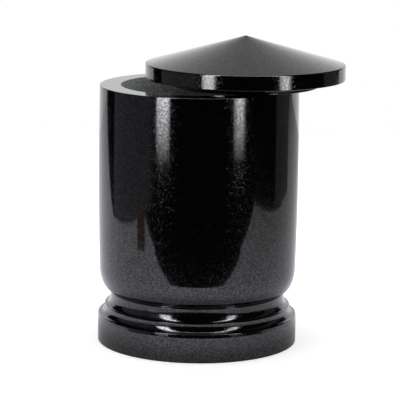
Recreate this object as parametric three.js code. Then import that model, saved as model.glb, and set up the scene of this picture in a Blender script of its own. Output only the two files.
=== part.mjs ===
// A cremation urn of polished black granite, turned on a lathe: a bored-out vessel on a base of two coved steps
// and a round plinth, and a shallow conical lid that has been pushed aside on the rim.
// Millimetres, +Z up. The origin is on the vessel's axis at its underside.
import * as THREE from "three";

// Plinth
const plinthRadius = 100;
const plinthHeight = 24.9;
const plinthBevel = 0.8;

// Lower step: a cove that flares out nearly to the plinth's radius, over a low shoulder that leans in a little
const lowerStepRadius = 99.5;
const lowerStepEdge = 28.4;
const lowerCoveFullness = 3;

// Upper step: the same kind of cove, narrower, from the vessel's neck down to the step's edge
const upperStepRadius = 93.1;
const upperStepEdge = 37.5;
const upperCoveFullness = 2.9;

// Neck: the top of the upper cove, then a narrow slot under the vessel's rounded bottom
const neckRadius = 87.4;
const neckTop = 50.8;
const slotRadius = 85.2;

// Wall of the vessel: rounded bottom, slight barrel, flat rim
const roundingBottom = 52.4;
const wallFoot = 77;
const footRadius = 98.6;
const bellyRadius = 99.7;
const bellyHeight = 170;
const rimRadius = 99;
const rimHeight = 258.5;
const rimBevel = 0.6;

// Bore
const boreRadius = 78.1;
const boreFloor = 60;
const boreFillet = 6;

// Lid
const lidRadius = 99.3;
const lidBand = 13.9;
const lidArris = 1.2;
const lidHeight = 42.3;
const tipRadius = 3;
const spigotRadius = 73.1;
const spigotDepth = 7.2;
const spigotBevel = 0.5;
const lidShift = 45.2;
const restGap = 0.3;

const turns = 72;

const point = (radius, height) => new THREE.Vector2(radius, height);

// Points on an ellipse about (radius, height), from one angle to another in degrees from the outward side.
function sweep(radius, height, across, up, from, to, steps) {
  const points = [];
  for (let i = 0; i <= steps; i += 1) {
    const angle = THREE.MathUtils.degToRad(from + ((to - from) * i) / steps);
    points.push(point(radius + across * Math.cos(angle), height + up * Math.sin(angle)));
  }
  return points;
}

// Radius of the barrel wall at a height: widest at the belly, easing in to the rim above and the foot below.
function wallRadius(height) {
  const endHeight = height > bellyHeight ? rimHeight : wallFoot;
  const endRadius = height > bellyHeight ? rimRadius : footRadius;
  const along = (height - bellyHeight) / (endHeight - bellyHeight);
  return bellyRadius - (bellyRadius - endRadius) * along * along;
}

// A hollow quarter of a squared ellipse, from the outer edge of a step up to the top of the cove, where it is
// upright. A fullness of 2 is a true ellipse, and more is closer to a square corner.
function cove(edgeRadius, edgeHeight, innerRadius, topHeight, fullness) {
  const points = [];
  const steps = 9;
  for (let i = 0; i <= steps; i += 1) {
    const angle = (Math.PI / 2) * (1 - i / steps);
    const inward = Math.abs(Math.cos(angle)) ** (2 / fullness);
    const down = Math.sin(angle) ** (2 / fullness);
    points.push(point(
      edgeRadius - (edgeRadius - innerRadius) * inward,
      topHeight - (topHeight - edgeHeight) * down,
    ));
  }
  return points;
}

// The solid that a profile of (radius, height) points makes when it is turned about Z.
function turned(name, profile, material) {
  const geometry = new THREE.LatheGeometry(profile, turns);
  geometry.rotateX(Math.PI / 2);
  const mesh = new THREE.Mesh(geometry, material);
  mesh.name = name;
  return mesh;
}

function vesselProfile() {
  const wall = [];
  for (let i = 1; i < 10; i += 1) {
    const height = wallFoot + ((rimHeight - rimBevel - wallFoot) * i) / 10;
    wall.push(point(wallRadius(height), height));
  }
  return [
    point(0, 0),
    point(plinthRadius - plinthBevel, 0),
    point(plinthRadius, plinthBevel),
    point(plinthRadius, plinthHeight),
    ...cove(
      lowerStepRadius, lowerStepEdge, upperStepRadius, upperStepEdge, lowerCoveFullness,
    ).slice(0, -1),
    ...cove(upperStepRadius, upperStepEdge, neckRadius, neckTop, upperCoveFullness),
    point(slotRadius, neckTop),
    point(slotRadius, roundingBottom),
    ...sweep(neckRadius, wallFoot, footRadius - neckRadius, wallFoot - roundingBottom, -90, 0, 12),
    ...wall,
    point(rimRadius, rimHeight - rimBevel),
    point(rimRadius - rimBevel, rimHeight),
    point(boreRadius, rimHeight),
    ...sweep(
      boreRadius - boreFillet, boreFloor + boreFillet, boreFillet, boreFillet, 0, -90, 4,
    ),
    point(0, boreFloor),
  ];
}

// The lid's profile, with its lower face at height 0 and the spigot below that.
function lidProfile() {
  const edgeHeight = lidBand + lidArris / 2;
  const slope = Math.atan2(lidHeight - edgeHeight, lidRadius - lidArris);
  const tip = [];
  for (let i = 3; i >= 0; i -= 1) {
    const angle = (slope * i) / 3;
    tip.push(point(tipRadius * Math.sin(angle), lidHeight - tipRadius * (1 - Math.cos(angle))));
  }
  tip[3].x = 0;
  return [
    point(0, -spigotDepth),
    point(spigotRadius - spigotBevel, -spigotDepth),
    point(spigotRadius, spigotBevel - spigotDepth),
    point(spigotRadius, 0),
    point(lidRadius - rimBevel, 0),
    point(lidRadius, rimBevel),
    point(lidRadius, lidBand - lidArris / 2),
    point(lidRadius - lidArris / 3, lidBand + lidArris / 6),
    point(lidRadius - lidArris, edgeHeight),
    ...tip,
  ];
}

const polishedGranite = new THREE.MeshStandardMaterial({ color: 0x0c0c0e, roughness: 0.08, metalness: 0 });
polishedGranite.name = "polished_granite";

const vessel = turned("urn_body", vesselProfile(), polishedGranite);

const lid = turned("lid", lidProfile(), polishedGranite.clone());
lid.position.set(lidShift, 0, rimHeight + restGap + spigotDepth);

const urn = new THREE.Group();
urn.name = "cremation_urn";
urn.add(vessel, lid);

export default urn;
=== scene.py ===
# Looks for a cremation urn of polished black granite, in the studio of its photograph.
# Metres, +Z up. The origin is on the vessel's axis at its underside, as in the CAD model.
import math

import bpy
from mathutils import Matrix, Vector


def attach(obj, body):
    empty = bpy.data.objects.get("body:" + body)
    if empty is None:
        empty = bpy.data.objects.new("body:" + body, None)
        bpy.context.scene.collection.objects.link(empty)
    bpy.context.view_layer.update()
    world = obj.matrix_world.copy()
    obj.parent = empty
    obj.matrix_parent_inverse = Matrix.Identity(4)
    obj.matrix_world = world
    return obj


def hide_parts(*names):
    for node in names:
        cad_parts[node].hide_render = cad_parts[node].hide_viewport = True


# Plinth
PLINTH_RADIUS = 0.1000
PLINTH_HEIGHT = 0.0249
PLINTH_BEVEL = 0.0008

# Lower step: a cove over a low shoulder that leans in a little
LOWER_STEP_RADIUS = 0.0995
LOWER_STEP_EDGE = 0.0284
LOWER_COVE_FULLNESS = 3.0

# Upper step: a cove from the neck down to the step's edge
UPPER_STEP_RADIUS = 0.0931
UPPER_STEP_EDGE = 0.0375
UPPER_COVE_FULLNESS = 2.9

# Neck, and the slot under the wall's rounded bottom
NECK_RADIUS = 0.0874
NECK_TOP = 0.0508
SLOT_RADIUS = 0.0852

# Wall
ROUNDING_BOTTOM = 0.0524
WALL_FOOT = 0.0770
FOOT_RADIUS = 0.0986
BELLY_RADIUS = 0.0997
BELLY_HEIGHT = 0.1700
RIM_RADIUS = 0.0990
RIM_HEIGHT = 0.2585
RIM_ARRIS = 0.0006

# Bore. Its drilled faces lie within a radius a hair over its own, and above a height just under its floor.
BORE_RADIUS = 0.0781
BORE_FLOOR = 0.0600
BORE_FILLET = 0.0060
DRILLED_RADIUS = BORE_RADIUS + 0.00005
DRILLED_BOTTOM = BORE_FLOOR - 0.0005

# Lid
LID_RADIUS = 0.0993
LID_BAND = 0.0139
LID_ARRIS = 0.0012
LID_HEIGHT = 0.0423
TIP_RADIUS = 0.0030
SPIGOT_RADIUS = 0.0731
SPIGOT_DEPTH = 0.0072
SPIGOT_ARRIS = 0.0005
LID_SHIFT = 0.0452
REST_GAP = 0.0003
LID_BOTTOM = RIM_HEIGHT + REST_GAP + SPIGOT_DEPTH

# Turning. A small arc is held by a point on the flat at either side, at the holding distance from its end.
TURN_SEGMENTS = 448
WALL_STEPS = 40
ROUNDING_STEPS = 24
COVE_STEPS = 22
FILLET_STEPS = 8
TIP_STEPS = 8
ARRIS_STEPS = 5
FINE_ARRIS = 0.0003
STEP_ARRIS = 0.0004
HOLDING_DISTANCE = 0.00012
SEAM_CLOSENESS = 0.000002

# Crystals of the polished stone: grain gives colour and reflectance, and glints are finer ones that lean
GRAIN_SIZE = 0.0009
GRAIN_RARITY = 2.0
GRAIN_DIMMING = (0.64, 0.0)
GRAIN_ROUGHNESS = (0.02, 0.09)
POLISH_REFRACTION = 1.86
POLISH_TINT = (0.95, 0.94, 0.98)
GLINT_SIZE = 0.00032
GLINT_TILT = 0.28
TILT_RARITY = 12.0

# Crystals of the drilled stone in the bore
DRILLED_GRAIN_SIZE = 0.0012
DRILLED_TILT = 0.10
DRILLED_ROUGHNESS = 0.75

# Camera, fitted to the outlines in the photograph
CAMERA_PLACE = (0.0, -2.050, 0.534)
CAMERA_PITCH = 10.82
CAMERA_YAW = 0.05
CAMERA_ROLL = 0.70
CAMERA_LENS = 187.4
CAMERA_SENSOR = 36.0

# Paper floor: its front edge is hollowed in the middle by half an ellipse, and it widens behind the urn
FLOOR_LEFT = -0.68
FLOOR_RIGHT = 0.78
FLOOR_FRONT = -0.385
FLOOR_FLARE = 0.22
FLOOR_BACK_LEFT = -1.56
FLOOR_BACK_RIGHT = 1.90
FLOOR_DROP = 0.0002
HOLLOW_HALF_WIDTH = 0.40
HOLLOW_DEPTH = 0.055
HOLLOW_STEPS = 12
PAPER_COLOUR = (0.67, 0.67, 0.67)
PAPER_ROUGHNESS = 0.9

# Painted light on the paper: a glow as (distance from the urn's axis, strength), one that the stone mirrors,
# and one that is seen. Both are dimmest close to the plinth, as a painted shadow. The mirrored one is a
# little violet, and fades to nothing to the right between two places in X, as painted shade on that side.
MIRRORED_PAINTED_LIGHT = [(0.125, 0.0), (0.18, 0.60), (0.30, 0.51), (0.45, 0.42)]
MIRRORED_TONE = (0.86, 0.84, 1.0)
MIRRORED_SHADE_TO_RIGHT = (0.10, 0.60)
SEEN_PAINTED_LIGHT = [(PLINTH_RADIUS, 0.50), (0.16, 0.54), (0.45, 0.80)]

# Backdrop: the right half of its outline as (across, height), and a glow that falls between two heights
BACKDROP_DISTANCE = 1.30
BACKDROP_OUTLINE = [(1.56, 0.0), (1.56, 0.15), (1.30, 0.41), (0.61, 0.77), (0.40, 1.20), (0.40, 2.80)]
BACKDROP_FADE = (0.55, 1.40)
BACKDROP_GLOW = (1.08, 0.52)

# Bright strips in front of the urn, each between two places on the floor. They fade out just over it, and
# their brightness across is given as (share of the width, brightness).
LEFT_STRIP_ENDS = ((-0.83, -0.74), (-0.575, -0.955))
LEFT_STRIP_TOP = 2.2
LEFT_STRIP_FADE = (0.03, 0.17)
LEFT_STRIP_GLOW = (0.0, 13.0)
LEFT_STRIP_PROFILE = [(0.0, 0.0), (0.10, 0.6), (0.25, 0.95), (0.75, 1.0), (0.90, 0.5), (1.0, 0.0)]
RIGHT_STRIP_ENDS = ((0.67, -0.90), (0.89, -0.69))
RIGHT_STRIP_TOP = 3.2
RIGHT_STRIP_FADE = (0.03, 0.15)
RIGHT_STRIP_GLOW = (0.0, 10.0)
RIGHT_STRIP_PROFILE = [
    (0.0, 0.0), (0.10, 0.15), (0.20, 0.60), (0.32, 0.55), (0.36, 1.0), (0.45, 0.85), (0.55, 0.75),
    (0.62, 1.0), (0.72, 0.90), (0.85, 0.40), (1.0, 0.0),
]

# Dim walls of the studio, to the left and right of the urn
STUDIO_WALL_TOP = 1.3
LEFT_WALL_ENDS = ((-0.72, 0.22), (-0.68, -0.62))
LEFT_WALL_FADE = (0.25, 0.60)
LEFT_WALL_GLOW = (0.24, 0.10)
LEFT_WALL_PROFILE = [(0.0, (0.94, 0.93, 1.0)), (0.80, (0.90, 0.88, 0.96)), (1.0, (0.10, 0.10, 0.10))]
RIGHT_WALL_ENDS = ((0.80, 0.43), (0.80, 0.05))
RIGHT_WALL_GLOW = 0.14

# Ceiling card, which the coves and the rim mirror
CEILING_HALF_WIDTH = 0.65
CEILING_FRONT = -0.40
CEILING_BACK = 0.35
CEILING_HEIGHT = 1.7
CEILING_GLOW = 5.0

# A brown thing low on the floor to the left, seen only as a streak in the stone
PROP_ENDS = ((-0.483, -0.201), (-0.445, -0.282))
PROP_TOP = 0.07
PROP_COLOUR = (1.0, 0.72, 0.55)
PROP_GLOW = 0.24

# Square light that faces down on the floor
OVERHEAD_PLACE = (0.0, 0.1, 1.9)
OVERHEAD_SIZE = 2.6
OVERHEAD_POWER = 62.0

WHITE = (1.0, 1.0, 1.0)
STUDIO_DARK = (0.012, 0.012, 0.013)


def arris(radius, height, rounding):
    return radius, height, rounding


def curve(points):
    return [(radius, height, 0.0) for radius, height in points]


def sweep(radius, height, across, up, start, end, steps):
    """Points on an ellipse about (radius, height), between two angles in degrees from the outward side."""
    angles = [math.radians(start + (end - start) * step / steps) for step in range(steps + 1)]
    return curve([(radius + across * math.cos(a), height + up * math.sin(a)) for a in angles])


def wall_radius(height):
    """Radius of the barrel wall: widest at the belly, easing in to the rim above and the foot below."""
    end_height = RIM_HEIGHT if height > BELLY_HEIGHT else WALL_FOOT
    end_radius = RIM_RADIUS if height > BELLY_HEIGHT else FOOT_RADIUS
    along = (height - BELLY_HEIGHT) / (end_height - BELLY_HEIGHT)
    return BELLY_RADIUS - (BELLY_RADIUS - end_radius) * along * along


def cove(edge_radius, edge_height, inner_radius, top_height, fullness):
    """A hollow quarter of a squared ellipse, between the rounded edges of a step and of what stands over
    it. A fullness of 2 is a true ellipse, and more is closer to a square corner."""
    points = []
    for step in range(1, COVE_STEPS):
        angle = math.pi / 2 * (1 - step / COVE_STEPS)
        inward = math.cos(angle) ** (2 / fullness)
        down = math.sin(angle) ** (2 / fullness)
        points.append((
            edge_radius - (edge_radius - inner_radius) * inward,
            top_height - (top_height - edge_height) * down,
        ))
    return [arris(edge_radius, edge_height, STEP_ARRIS)] + curve(points)


def rounded(profile):
    """The profile with each arris turned into a small arc, held by a point on the flat at either side."""
    points = []
    for index, (radius, height, rounding) in enumerate(profile):
        corner = Vector((radius, height))
        if rounding == 0.0:
            points.append(corner)
            continue
        before = (Vector(profile[index - 1][:2]) - corner).normalized()
        after = (Vector(profile[index + 1][:2]) - corner).normalized()
        half_angle = before.angle(after) / 2
        reach = rounding / math.tan(half_angle)
        centre = corner + (before + after).normalized() * rounding / math.sin(half_angle)
        first = corner + before * reach - centre
        last = corner + after * reach - centre
        turn = first.angle_signed(last)
        points.append(corner + before * (reach + HOLDING_DISTANCE))
        for step in range(ARRIS_STEPS + 1):
            spoke = first.copy()
            spoke.rotate(Matrix.Rotation(-turn * step / ARRIS_STEPS, 2))
            points.append(centre + spoke)
        points.append(corner + after * (reach + HOLDING_DISTANCE))
    return points


def vessel_profile():
    wall_top = RIM_HEIGHT - RIM_ARRIS
    wall = [WALL_FOOT + (wall_top - WALL_FOOT) * step / WALL_STEPS for step in range(1, WALL_STEPS)]
    bulge = FOOT_RADIUS - NECK_RADIUS
    rise = WALL_FOOT - ROUNDING_BOTTOM
    fillet_centre = (BORE_RADIUS - BORE_FILLET, BORE_FLOOR + BORE_FILLET)
    return rounded([
        arris(0.0, 0.0, 0.0),
        arris(PLINTH_RADIUS, 0.0, PLINTH_BEVEL),
        arris(PLINTH_RADIUS, PLINTH_HEIGHT, STEP_ARRIS),
        *cove(LOWER_STEP_RADIUS, LOWER_STEP_EDGE, UPPER_STEP_RADIUS, UPPER_STEP_EDGE, LOWER_COVE_FULLNESS),
        *cove(UPPER_STEP_RADIUS, UPPER_STEP_EDGE, NECK_RADIUS, NECK_TOP, UPPER_COVE_FULLNESS),
        arris(NECK_RADIUS, NECK_TOP, FINE_ARRIS),
        arris(SLOT_RADIUS, NECK_TOP, 0.0),
        arris(SLOT_RADIUS, ROUNDING_BOTTOM, 0.0),
        *sweep(NECK_RADIUS, WALL_FOOT, bulge, rise, -90, 0, ROUNDING_STEPS),
        *curve([(wall_radius(height), height) for height in wall]),
        arris(RIM_RADIUS, RIM_HEIGHT, RIM_ARRIS),
        arris(BORE_RADIUS, RIM_HEIGHT, FINE_ARRIS),
        *sweep(*fillet_centre, BORE_FILLET, BORE_FILLET, 0, -90, FILLET_STEPS),
        arris(0.0, BORE_FLOOR, 0.0),
    ])


def lid_profile():
    edge_height = LID_BAND + LID_ARRIS / 2
    slope = math.atan2(LID_HEIGHT - edge_height, LID_RADIUS - LID_ARRIS)
    tip = []
    for step in range(TIP_STEPS):
        angle = slope * (1 - step / TIP_STEPS)
        tip.append((TIP_RADIUS * math.sin(angle), LID_HEIGHT - TIP_RADIUS * (1 - math.cos(angle))))
    profile = rounded([
        arris(0.0, -SPIGOT_DEPTH, 0.0),
        arris(SPIGOT_RADIUS, -SPIGOT_DEPTH, SPIGOT_ARRIS),
        arris(SPIGOT_RADIUS, 0.0, 0.0),
        arris(LID_RADIUS, 0.0, RIM_ARRIS),
        arris(LID_RADIUS, edge_height, LID_ARRIS),
        *curve(tip),
        arris(0.0, LID_HEIGHT, 0.0),
    ])
    return [Vector((radius, height + LID_BOTTOM)) for radius, height in profile]


def link(tree, source, output, target, name):
    """Joins an output of one node to an input of another. Both are found by name or number."""
    tree.links.new(source.outputs[output], target.inputs[name])


def math_node(tree, operation, *values, kind="ShaderNodeMath"):
    """A maths node. Each value is a number, a vector or a (node, output) pair."""
    node = tree.nodes.new(kind)
    node.operation = operation
    for index, value in enumerate(values):
        if isinstance(value, tuple) and isinstance(value[0], bpy.types.Node):
            tree.links.new(value[0].outputs[value[1]], node.inputs[index])
        else:
            node.inputs[index].default_value = value
    return node


def turning_tree():
    """Turns a profile about Z: a grid whose columns are copies of it, closed at the seam and the poles."""
    tree = bpy.data.node_groups.new("turning", "GeometryNodeTree")
    tree.is_modifier = True
    face = tree.interface
    face.new_socket("Geometry", in_out="OUTPUT", socket_type="NodeSocketGeometry")
    face.new_socket("Profile", in_out="INPUT", socket_type="NodeSocketGeometry")
    face.new_socket("Segments", in_out="INPUT", socket_type="NodeSocketInt")
    face.new_socket("Axis Offset", in_out="INPUT", socket_type="NodeSocketFloat")
    face.new_socket("Bore Radius", in_out="INPUT", socket_type="NodeSocketFloat")
    face.new_socket("Bore Floor", in_out="INPUT", socket_type="NodeSocketFloat")
    face.new_socket("Outside", in_out="INPUT", socket_type="NodeSocketMaterial")
    face.new_socket("Bored", in_out="INPUT", socket_type="NodeSocketMaterial")
    given = tree.nodes.new("NodeGroupInput")
    result = tree.nodes.new("NodeGroupOutput")

    count = tree.nodes.new("GeometryNodeAttributeDomainSize")
    count.component = "MESH"
    link(tree, given, "Profile", count, "Geometry")
    columns = math_node(tree, "ADD", (given, "Segments"), 1.0)
    grid = tree.nodes.new("GeometryNodeMeshGrid")
    link(tree, columns, 0, grid, "Vertices X")
    link(tree, count, "Point Count", grid, "Vertices Y")

    # Each grid point reads its place on the profile and its turn from its own number.
    index = tree.nodes.new("GeometryNodeInputIndex")
    along = math_node(tree, "MODULO", (index, 0), (count, "Point Count"))
    column = math_node(tree, "FLOOR", (math_node(tree, "DIVIDE", (index, 0), (count, "Point Count")), 0))
    share = math_node(tree, "DIVIDE", (column, 0), (given, "Segments"))
    wrapped = math_node(tree, "FRACT", (share, 0))
    angle = math_node(tree, "MULTIPLY", (wrapped, 0), math.tau)
    position = tree.nodes.new("GeometryNodeInputPosition")
    sample = tree.nodes.new("GeometryNodeSampleIndex")
    sample.data_type = "FLOAT_VECTOR"
    sample.domain = "POINT"
    link(tree, given, "Profile", sample, "Geometry")
    link(tree, position, 0, sample, "Value")
    link(tree, along, 0, sample, "Index")
    split = tree.nodes.new("ShaderNodeSeparateXYZ")
    link(tree, sample, 0, split, 0)
    cosine = math_node(tree, "COSINE", (angle, 0))
    sine = math_node(tree, "SINE", (angle, 0))
    across = math_node(tree, "MULTIPLY", (split, "X"), (cosine, 0))
    deep = math_node(tree, "MULTIPLY", (split, "X"), (sine, 0))
    place = tree.nodes.new("ShaderNodeCombineXYZ")
    link(tree, across, 0, place, "X")
    link(tree, deep, 0, place, "Y")
    link(tree, split, "Z", place, "Z")
    axis = tree.nodes.new("ShaderNodeCombineXYZ")
    link(tree, given, "Axis Offset", axis, "X")
    shape = tree.nodes.new("GeometryNodeSetPosition")
    link(tree, grid, "Mesh", shape, "Geometry")
    link(tree, place, 0, shape, "Position")
    link(tree, axis, 0, shape, "Offset")
    closed = tree.nodes.new("GeometryNodeMergeByDistance")
    closed.inputs["Distance"].default_value = SEAM_CLOSENESS
    link(tree, shape, 0, closed, "Geometry")
    smooth = tree.nodes.new("GeometryNodeSetShadeSmooth")
    link(tree, closed, 0, smooth, "Geometry")
    realized = tree.nodes.new("GeometryNodeRealizeInstances")
    link(tree, smooth, 0, realized, "Geometry")

    # The bored faces are those inside the bore's radius and above the bore's floor.
    from_axis = math_node(tree, "SUBTRACT", (position, 0), (axis, 0), kind="ShaderNodeVectorMath")
    where = tree.nodes.new("ShaderNodeSeparateXYZ")
    link(tree, from_axis, 0, where, 0)
    flat = tree.nodes.new("ShaderNodeCombineXYZ")
    link(tree, where, "X", flat, "X")
    link(tree, where, "Y", flat, "Y")
    radius = math_node(tree, "LENGTH", (flat, 0), kind="ShaderNodeVectorMath")
    inside = math_node(tree, "LESS_THAN", (radius, "Value"), (given, "Bore Radius"))
    above = math_node(tree, "GREATER_THAN", (where, "Z"), (given, "Bore Floor"))
    bored = math_node(tree, "MULTIPLY", (inside, 0), (above, 0))
    outside = tree.nodes.new("GeometryNodeSetMaterial")
    link(tree, realized, 0, outside, "Geometry")
    link(tree, given, "Outside", outside, "Material")
    inner = tree.nodes.new("GeometryNodeSetMaterial")
    link(tree, outside, 0, inner, "Geometry")
    link(tree, bored, 0, inner, "Selection")
    link(tree, given, "Bored", inner, "Material")
    link(tree, inner, 0, result, 0)
    return tree


def turned_piece(name, profile, tree, values, node):
    """A piece turned from its profile, as a plain mesh that stands for a CAD node."""
    mesh = bpy.data.meshes.new(name + "_profile")
    mesh.from_pydata([(radius, 0.0, height) for radius, height in profile], [], [])
    source = bpy.data.objects.new(name + "_profile", mesh)
    bpy.context.scene.collection.objects.link(source)
    modifier = source.modifiers.new("turning", "NODES")
    modifier.node_group = tree
    for item in tree.interface.items_tree:
        if item.in_out == "INPUT" and item.name in values:
            modifier[item.identifier] = values[item.name]
    evaluated = source.evaluated_get(bpy.context.evaluated_depsgraph_get())
    finished = bpy.data.meshes.new_from_object(evaluated)
    finished.name = name
    bpy.data.objects.remove(source)
    bpy.data.meshes.remove(mesh)
    piece = bpy.data.objects.new(name, finished)
    bpy.context.scene.collection.objects.link(piece)
    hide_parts(node)
    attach(piece, "root")


def crystals_group():
    """Crystals of the stone: two random numbers for each, and a normal that leans in a few plucked ones."""
    tree = bpy.data.node_groups.new("stone_crystals", "ShaderNodeTree")
    face = tree.interface
    face.new_socket("Vector", in_out="INPUT", socket_type="NodeSocketVector")
    face.new_socket("Crystal Size", in_out="INPUT", socket_type="NodeSocketFloat")
    face.new_socket("Tilt", in_out="INPUT", socket_type="NodeSocketFloat")
    face.new_socket("Random", in_out="OUTPUT", socket_type="NodeSocketFloat")
    face.new_socket("Other Random", in_out="OUTPUT", socket_type="NodeSocketFloat")
    face.new_socket("Normal", in_out="OUTPUT", socket_type="NodeSocketVector")
    given = tree.nodes.new("NodeGroupInput")
    result = tree.nodes.new("NodeGroupOutput")

    scale = math_node(tree, "DIVIDE", 1.0, (given, "Crystal Size"))
    cells = tree.nodes.new("ShaderNodeTexVoronoi")
    cells.voronoi_dimensions = "3D"
    link(tree, given, "Vector", cells, "Vector")
    link(tree, scale, 0, cells, "Scale")
    parts = tree.nodes.new("ShaderNodeSeparateColor")
    link(tree, cells, "Color", parts, 0)
    other = tree.nodes.new("ShaderNodeTexWhiteNoise")
    other.noise_dimensions = "3D"
    link(tree, cells, "Position", other, "Vector")

    # Nearly all crystals lie true to the face: the power leaves a real lean only to the few highest numbers.
    lean = math_node(tree, "POWER", (other, "Value"), TILT_RARITY)
    amount = math_node(tree, "MULTIPLY", (lean, 0), (given, "Tilt"))
    centred = math_node(tree, "SUBTRACT", (cells, "Color"), (0.5, 0.5, 0.5), kind="ShaderNodeVectorMath")
    offset = tree.nodes.new("ShaderNodeVectorMath")
    offset.operation = "SCALE"
    link(tree, centred, 0, offset, 0)
    link(tree, amount, 0, offset, "Scale")
    surface = tree.nodes.new("ShaderNodeNewGeometry")
    leaned = math_node(tree, "ADD", (surface, "Normal"), (offset, 0), kind="ShaderNodeVectorMath")
    unit = math_node(tree, "NORMALIZE", (leaned, 0), kind="ShaderNodeVectorMath")
    link(tree, parts, "Red", result, "Random")
    link(tree, other, "Value", result, "Other Random")
    link(tree, unit, 0, result, "Normal")
    return tree


def ramp(tree, source, output, stops, constant=False):
    """A colour ramp over (place, grey or colour) stops."""
    node = tree.nodes.new("ShaderNodeValToRGB")
    node.color_ramp.interpolation = "CONSTANT" if constant else "LINEAR"
    while len(node.color_ramp.elements) < len(stops):
        node.color_ramp.elements.new(1.0)
    for element, (place, shade) in zip(node.color_ramp.elements, stops):
        element.position = place
        element.color = (*shade, 1.0) if isinstance(shade, tuple) else (shade, shade, shade, 1.0)
    link(tree, source, output, node, 0)
    return node


def mapped(tree, source, output, limits, ends):
    """Maps a value between two limits evenly to a value between two ends, and keeps it between them."""
    node = tree.nodes.new("ShaderNodeMapRange")
    node.inputs["From Min"].default_value = limits[0]
    node.inputs["From Max"].default_value = limits[1]
    node.inputs["To Min"].default_value = ends[0]
    node.inputs["To Max"].default_value = ends[1]
    link(tree, source, output, node, "Value")
    return node


def new_material(name):
    material = bpy.data.materials.new(name)
    material.use_nodes = True
    shader = material.node_tree.nodes["Principled BSDF"]
    coordinates = material.node_tree.nodes.new("ShaderNodeTexCoord")
    return material, material.node_tree, shader, coordinates


def placed_crystals(tree, coordinates, crystals, size, tilt):
    """The stone's crystals in one material, at a size and tilt of their own."""
    node = tree.nodes.new("ShaderNodeGroup")
    node.node_tree = crystals
    node.inputs["Crystal Size"].default_value = size
    node.inputs["Tilt"].default_value = tilt
    link(tree, coordinates, "Object", node, "Vector")
    return node


def polished_granite(crystals):
    material, tree, shader, coordinates = new_material("polished_granite")
    grain = placed_crystals(tree, coordinates, crystals, GRAIN_SIZE, 0.0)
    glint = placed_crystals(tree, coordinates, crystals, GLINT_SIZE, GLINT_TILT)

    # Black pyroxene, grey feldspar and a few pale grains. A metallic share over such a black base dims what a
    # crystal mirrors, so that only the rare ones mirror as much as the polish can.
    colour = ramp(tree, grain, "Random", [
        (0.0, (0.0006, 0.0007, 0.0008)),
        (0.45, (0.0012, 0.0013, 0.0015)),
        (0.80, (0.0026, 0.0028, 0.0032)),
        (0.95, (0.008, 0.008, 0.008)),
    ], constant=True)
    rare = math_node(tree, "POWER", (grain, "Random"), GRAIN_RARITY)
    dimming = mapped(tree, rare, 0, (0.0, 1.0), GRAIN_DIMMING)
    polish = mapped(tree, grain, "Other Random", (0.0, 1.0), GRAIN_ROUGHNESS)
    link(tree, colour, "Color", shader, "Base Color")
    link(tree, dimming, "Result", shader, "Metallic")
    link(tree, polish, "Result", shader, "Roughness")
    link(tree, glint, "Normal", shader, "Normal")
    shader.inputs["IOR"].default_value = POLISH_REFRACTION
    shader.inputs["Specular Tint"].default_value = (*POLISH_TINT, 1.0)
    return material


def bored_granite(crystals):
    """Drilled stone, left matt, so that it looks paler and greener than the polish."""
    material, tree, shader, coordinates = new_material("bored_granite")
    grain = placed_crystals(tree, coordinates, crystals, DRILLED_GRAIN_SIZE, DRILLED_TILT)
    colour = ramp(tree, grain, "Random", [
        (0.0, (0.34, 0.37, 0.34)),
        (0.5, (0.52, 0.56, 0.52)),
        (0.9, (0.72, 0.76, 0.70)),
    ], constant=True)
    link(tree, colour, "Color", shader, "Base Color")
    link(tree, grain, "Normal", shader, "Normal")
    shader.inputs["Roughness"].default_value = DRILLED_ROUGHNESS
    return material


def glowing(name, colour, strength):
    """A material that only shines, the same over the whole sheet."""
    material = bpy.data.materials.new(name)
    material.use_nodes = True
    tree = material.node_tree
    tree.nodes.clear()
    shine = tree.nodes.new("ShaderNodeEmission")
    shine.inputs["Color"].default_value = (*colour, 1.0)
    shine.inputs["Strength"].default_value = strength
    result = tree.nodes.new("ShaderNodeOutputMaterial")
    link(tree, shine, 0, result, "Surface")
    return material


def fading(name, heights, strengths):
    """A white shining material whose strength changes evenly between two heights."""
    material = glowing(name, WHITE, strengths[1])
    tree = material.node_tree
    coordinates = tree.nodes.new("ShaderNodeTexCoord")
    split = tree.nodes.new("ShaderNodeSeparateXYZ")
    link(tree, coordinates, "Object", split, 0)
    change = mapped(tree, split, "Z", heights, strengths)
    link(tree, change, "Result", tree.nodes["Emission"], "Strength")
    return material


def shaded_across(material, profile):
    """Lets a shining material also change across its sheet, by a ramp along the sheet's extent in X."""
    tree = material.node_tree
    coordinates = tree.nodes.new("ShaderNodeTexCoord")
    split = tree.nodes.new("ShaderNodeSeparateXYZ")
    link(tree, coordinates, "Generated", split, 0)
    across = ramp(tree, split, "X", profile)
    link(tree, across, "Color", tree.nodes["Emission"], "Color")
    return material


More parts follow.
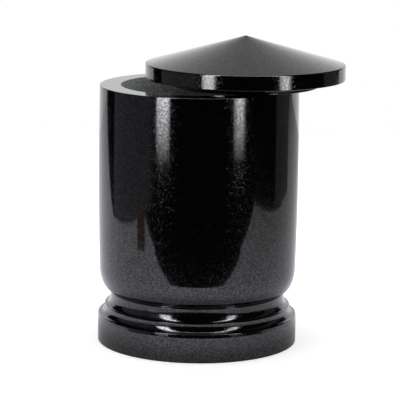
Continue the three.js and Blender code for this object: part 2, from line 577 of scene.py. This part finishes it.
def floor_paper_painted_light():
    """Matt white paper with a painted glow, so that the urn's shadow on it stays faint to the camera, while
    the stone mirrors it with a painted shadow close to the plinth and painted shade to the right."""
    material, tree, shader, coordinates = new_material("floor_paper_painted_light")
    shader.inputs["Base Color"].default_value = (*PAPER_COLOUR, 1.0)
    shader.inputs["Roughness"].default_value = PAPER_ROUGHNESS
    # Painted light: a glow on the paper, dimmed close to the plinth as a painted shadow, and for mirrored
    # rays also dimmed towards the right as painted shade.
    distance = math_node(tree, "LENGTH", (coordinates, "Object"), kind="ShaderNodeVectorMath")
    near_painted_light = ramp(tree, distance, "Value", MIRRORED_PAINTED_LIGHT)
    seen = ramp(tree, distance, "Value", SEEN_PAINTED_LIGHT)
    split = tree.nodes.new("ShaderNodeSeparateXYZ")
    link(tree, coordinates, "Object", split, 0)
    painted_shade_rightward = mapped(tree, split, "X", MIRRORED_SHADE_TO_RIGHT, (1.0, 0.0))
    mirrored = math_node(tree, "MULTIPLY", (near_painted_light, "Color"), (painted_shade_rightward, "Result"))
    path = tree.nodes.new("ShaderNodeLightPath")
    shine = tree.nodes.new("ShaderNodeMix")
    link(tree, path, "Is Camera Ray", shine, "Factor")
    link(tree, mirrored, 0, shine, "A")
    link(tree, seen, "Color", shine, "B")
    tone = tree.nodes.new("ShaderNodeMix")
    tone.data_type = "RGBA"
    tone.inputs["A"].default_value = (*MIRRORED_TONE, 1.0)
    tone.inputs["B"].default_value = (*WHITE, 1.0)
    link(tree, path, "Is Camera Ray", tone, "Factor")
    link(tree, tone, "Result", shader, "Emission Color")
    link(tree, shine, "Result", shader, "Emission Strength")
    return material


def sheet(name, corners, material, seen=False):
    """A flat stage sheet. Unless it is seen, it only shows in reflections."""
    mesh = bpy.data.meshes.new(name)
    mesh.from_pydata(corners, [], [range(len(corners))])
    mesh.materials.append(material)
    card = bpy.data.objects.new(name, mesh)
    card.visible_camera = seen
    card.visible_diffuse = seen
    card.visible_shadow = seen
    bpy.context.scene.collection.objects.link(card)


def upright(name, ends, top, material):
    """A stage sheet that stands on the floor between two places."""
    left, right = ends
    sheet(name, [(*left, 0.0), (*right, 0.0), (*right, top), (*left, top)], material)


def set_floor():
    turns = [math.pi * (1 - step / HOLLOW_STEPS) for step in range(HOLLOW_STEPS + 1)]
    hollow = [
        (HOLLOW_HALF_WIDTH * math.cos(turn), FLOOR_FRONT + HOLLOW_DEPTH * math.sin(turn))
        for turn in turns
    ]
    outline = [
        (FLOOR_LEFT, FLOOR_FRONT),
        *hollow,
        (FLOOR_RIGHT, FLOOR_FRONT),
        (FLOOR_RIGHT, FLOOR_FLARE),
        (FLOOR_BACK_RIGHT, BACKDROP_DISTANCE),
        (FLOOR_BACK_LEFT, BACKDROP_DISTANCE),
        (FLOOR_LEFT, FLOOR_FLARE),
    ]
    sheet("floor", [(across, deep, -FLOOR_DROP) for across, deep in outline], floor_paper_painted_light(), seen=True)


def set_backdrop():
    right_half = [(across, BACKDROP_DISTANCE, height) for across, height in BACKDROP_OUTLINE]
    left_half = [(-across, BACKDROP_DISTANCE, height) for across, height in reversed(BACKDROP_OUTLINE)]
    sheet("backdrop", right_half + left_half, fading("backdrop_glow", BACKDROP_FADE, BACKDROP_GLOW))


def set_cards():
    """The strips, studio walls, ceiling and small prop that the polished stone mirrors."""
    left_strip_glow = fading("left_strip_glow", LEFT_STRIP_FADE, LEFT_STRIP_GLOW)
    shaded_across(left_strip_glow, LEFT_STRIP_PROFILE)
    upright("left_strip", LEFT_STRIP_ENDS, LEFT_STRIP_TOP, left_strip_glow)

    right_strip_glow = fading("right_strip_glow", RIGHT_STRIP_FADE, RIGHT_STRIP_GLOW)
    shaded_across(right_strip_glow, RIGHT_STRIP_PROFILE)
    upright("right_strip", RIGHT_STRIP_ENDS, RIGHT_STRIP_TOP, right_strip_glow)

    left_wall_glow = fading("left_wall_glow", LEFT_WALL_FADE, LEFT_WALL_GLOW)
    shaded_across(left_wall_glow, LEFT_WALL_PROFILE)
    upright("left_wall", LEFT_WALL_ENDS, STUDIO_WALL_TOP, left_wall_glow)

    right_wall_glow = glowing("right_wall_glow", WHITE, RIGHT_WALL_GLOW)
    upright("right_wall", RIGHT_WALL_ENDS, STUDIO_WALL_TOP, right_wall_glow)

    sheet("ceiling", [
        (-CEILING_HALF_WIDTH, CEILING_FRONT, CEILING_HEIGHT),
        (CEILING_HALF_WIDTH, CEILING_FRONT, CEILING_HEIGHT),
        (CEILING_HALF_WIDTH, CEILING_BACK, CEILING_HEIGHT),
        (-CEILING_HALF_WIDTH, CEILING_BACK, CEILING_HEIGHT),
    ], glowing("ceiling_glow", WHITE, CEILING_GLOW))

    upright("brown_prop", PROP_ENDS, PROP_TOP, glowing("brown_glow", PROP_COLOUR, PROP_GLOW))


def set_overhead_light():
    """A square light over the urn. It lights the floor and the bore, and isn't mirrored."""
    light = bpy.data.lights.new("overhead", "AREA")
    light.shape = "SQUARE"
    light.size = OVERHEAD_SIZE
    light.energy = OVERHEAD_POWER
    lamp = bpy.data.objects.new("overhead", light)
    lamp.location = OVERHEAD_PLACE
    lamp.visible_camera = False
    lamp.visible_glossy = False
    bpy.context.scene.collection.objects.link(lamp)


def set_camera():
    camera = bpy.data.objects.new("camera", bpy.data.cameras.new("camera"))
    turn = Matrix.Rotation(-math.radians(CAMERA_YAW), 4, "Z")
    turn = turn @ Matrix.Rotation(math.pi / 2 - math.radians(CAMERA_PITCH), 4, "X")
    turn = turn @ Matrix.Rotation(math.radians(CAMERA_ROLL), 4, "Z")
    camera.matrix_world = Matrix.Translation(CAMERA_PLACE) @ turn
    camera.data.lens = CAMERA_LENS
    camera.data.sensor_width = CAMERA_SENSOR
    bpy.context.scene.collection.objects.link(camera)
    bpy.context.scene.camera = camera


def set_world():
    """White behind everything for the camera, and nearly black for what the stone mirrors."""
    world = bpy.data.worlds.new("studio")
    bpy.context.scene.world = world
    world.use_nodes = True
    tree = world.node_tree
    path = tree.nodes.new("ShaderNodeLightPath")
    dark = tree.nodes["Background"]
    dark.inputs["Color"].default_value = (*STUDIO_DARK, 1.0)
    bright = tree.nodes.new("ShaderNodeBackground")
    bright.inputs["Color"].default_value = (*WHITE, 1.0)
    mix = tree.nodes.new("ShaderNodeMixShader")
    link(tree, path, "Is Camera Ray", mix, 0)
    link(tree, dark, 0, mix, 1)
    link(tree, bright, 0, mix, 2)
    link(tree, mix, 0, tree.nodes["World Output"], "Surface")


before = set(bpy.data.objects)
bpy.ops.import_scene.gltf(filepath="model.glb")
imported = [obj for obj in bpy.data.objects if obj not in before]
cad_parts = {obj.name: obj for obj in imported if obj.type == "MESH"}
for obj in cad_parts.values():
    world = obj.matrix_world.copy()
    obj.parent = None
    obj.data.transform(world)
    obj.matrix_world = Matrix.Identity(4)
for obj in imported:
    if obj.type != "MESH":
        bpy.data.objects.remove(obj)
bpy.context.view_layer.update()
bpy.context.scene.view_settings.view_transform = "Standard"

set_camera()
set_world()
set_floor()
set_backdrop()
set_cards()
set_overhead_light()

stone_crystals = crystals_group()
polished = polished_granite(stone_crystals)
bored = bored_granite(stone_crystals)
turning = turning_tree()
turned_piece("vessel", vessel_profile(), turning, {
    "Segments": TURN_SEGMENTS,
    "Axis Offset": 0.0,
    "Bore Radius": DRILLED_RADIUS,
    "Bore Floor": DRILLED_BOTTOM,
    "Outside": polished,
    "Bored": bored,
}, "urn_body")
turned_piece("resting_lid", lid_profile(), turning, {
    "Segments": TURN_SEGMENTS,
    "Axis Offset": LID_SHIFT,
    "Bore Radius": 0.0,
    "Bore Floor": 0.0,
    "Outside": polished,
    "Bored": bored,
}, "lid")
